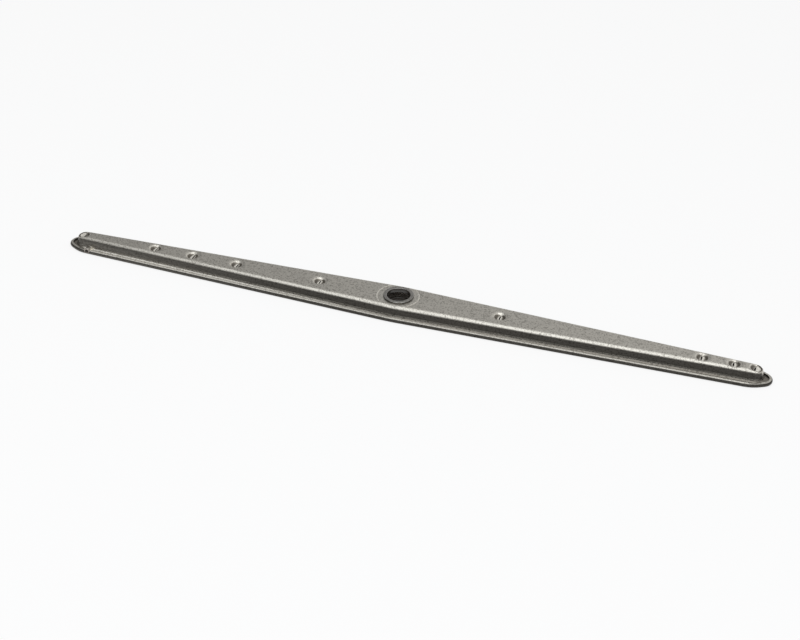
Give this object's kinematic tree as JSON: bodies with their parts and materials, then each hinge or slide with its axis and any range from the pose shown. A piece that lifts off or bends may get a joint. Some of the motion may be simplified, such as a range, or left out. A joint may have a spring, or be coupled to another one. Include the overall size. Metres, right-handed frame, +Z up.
{
  "type": "dishwasher spray arm",
  "caption": "Long tapered spray arm of hemmed sheet-steel shells, with dished slot jets along its flat top, drive nozzles at its ends and a bushed hub that turns on the wash spindle.",
  "frame": {"origin": "on the hub's axis, in the plane of the flat underside", "axes": "+X along the arm towards the end with the jets close together, +Y across it, +Z up out of the top with the jets"},
  "size_m": [0.5, 0.0378, 0.0111],
  "materials": {
    "upper_sheet": "pressed stainless sheet, fine satin",
    "lower_sheet": "pressed stainless sheet, fine satin",
    "turned_steel": "turned stainless, fine"
  },
  "bodies": {
    "root": {"upper_shell": "upper_sheet", "lower_shell": "lower_sheet", "upper_bush": "turned_steel", "lower_bush": "turned_steel"}
  },
  "joints": []
}
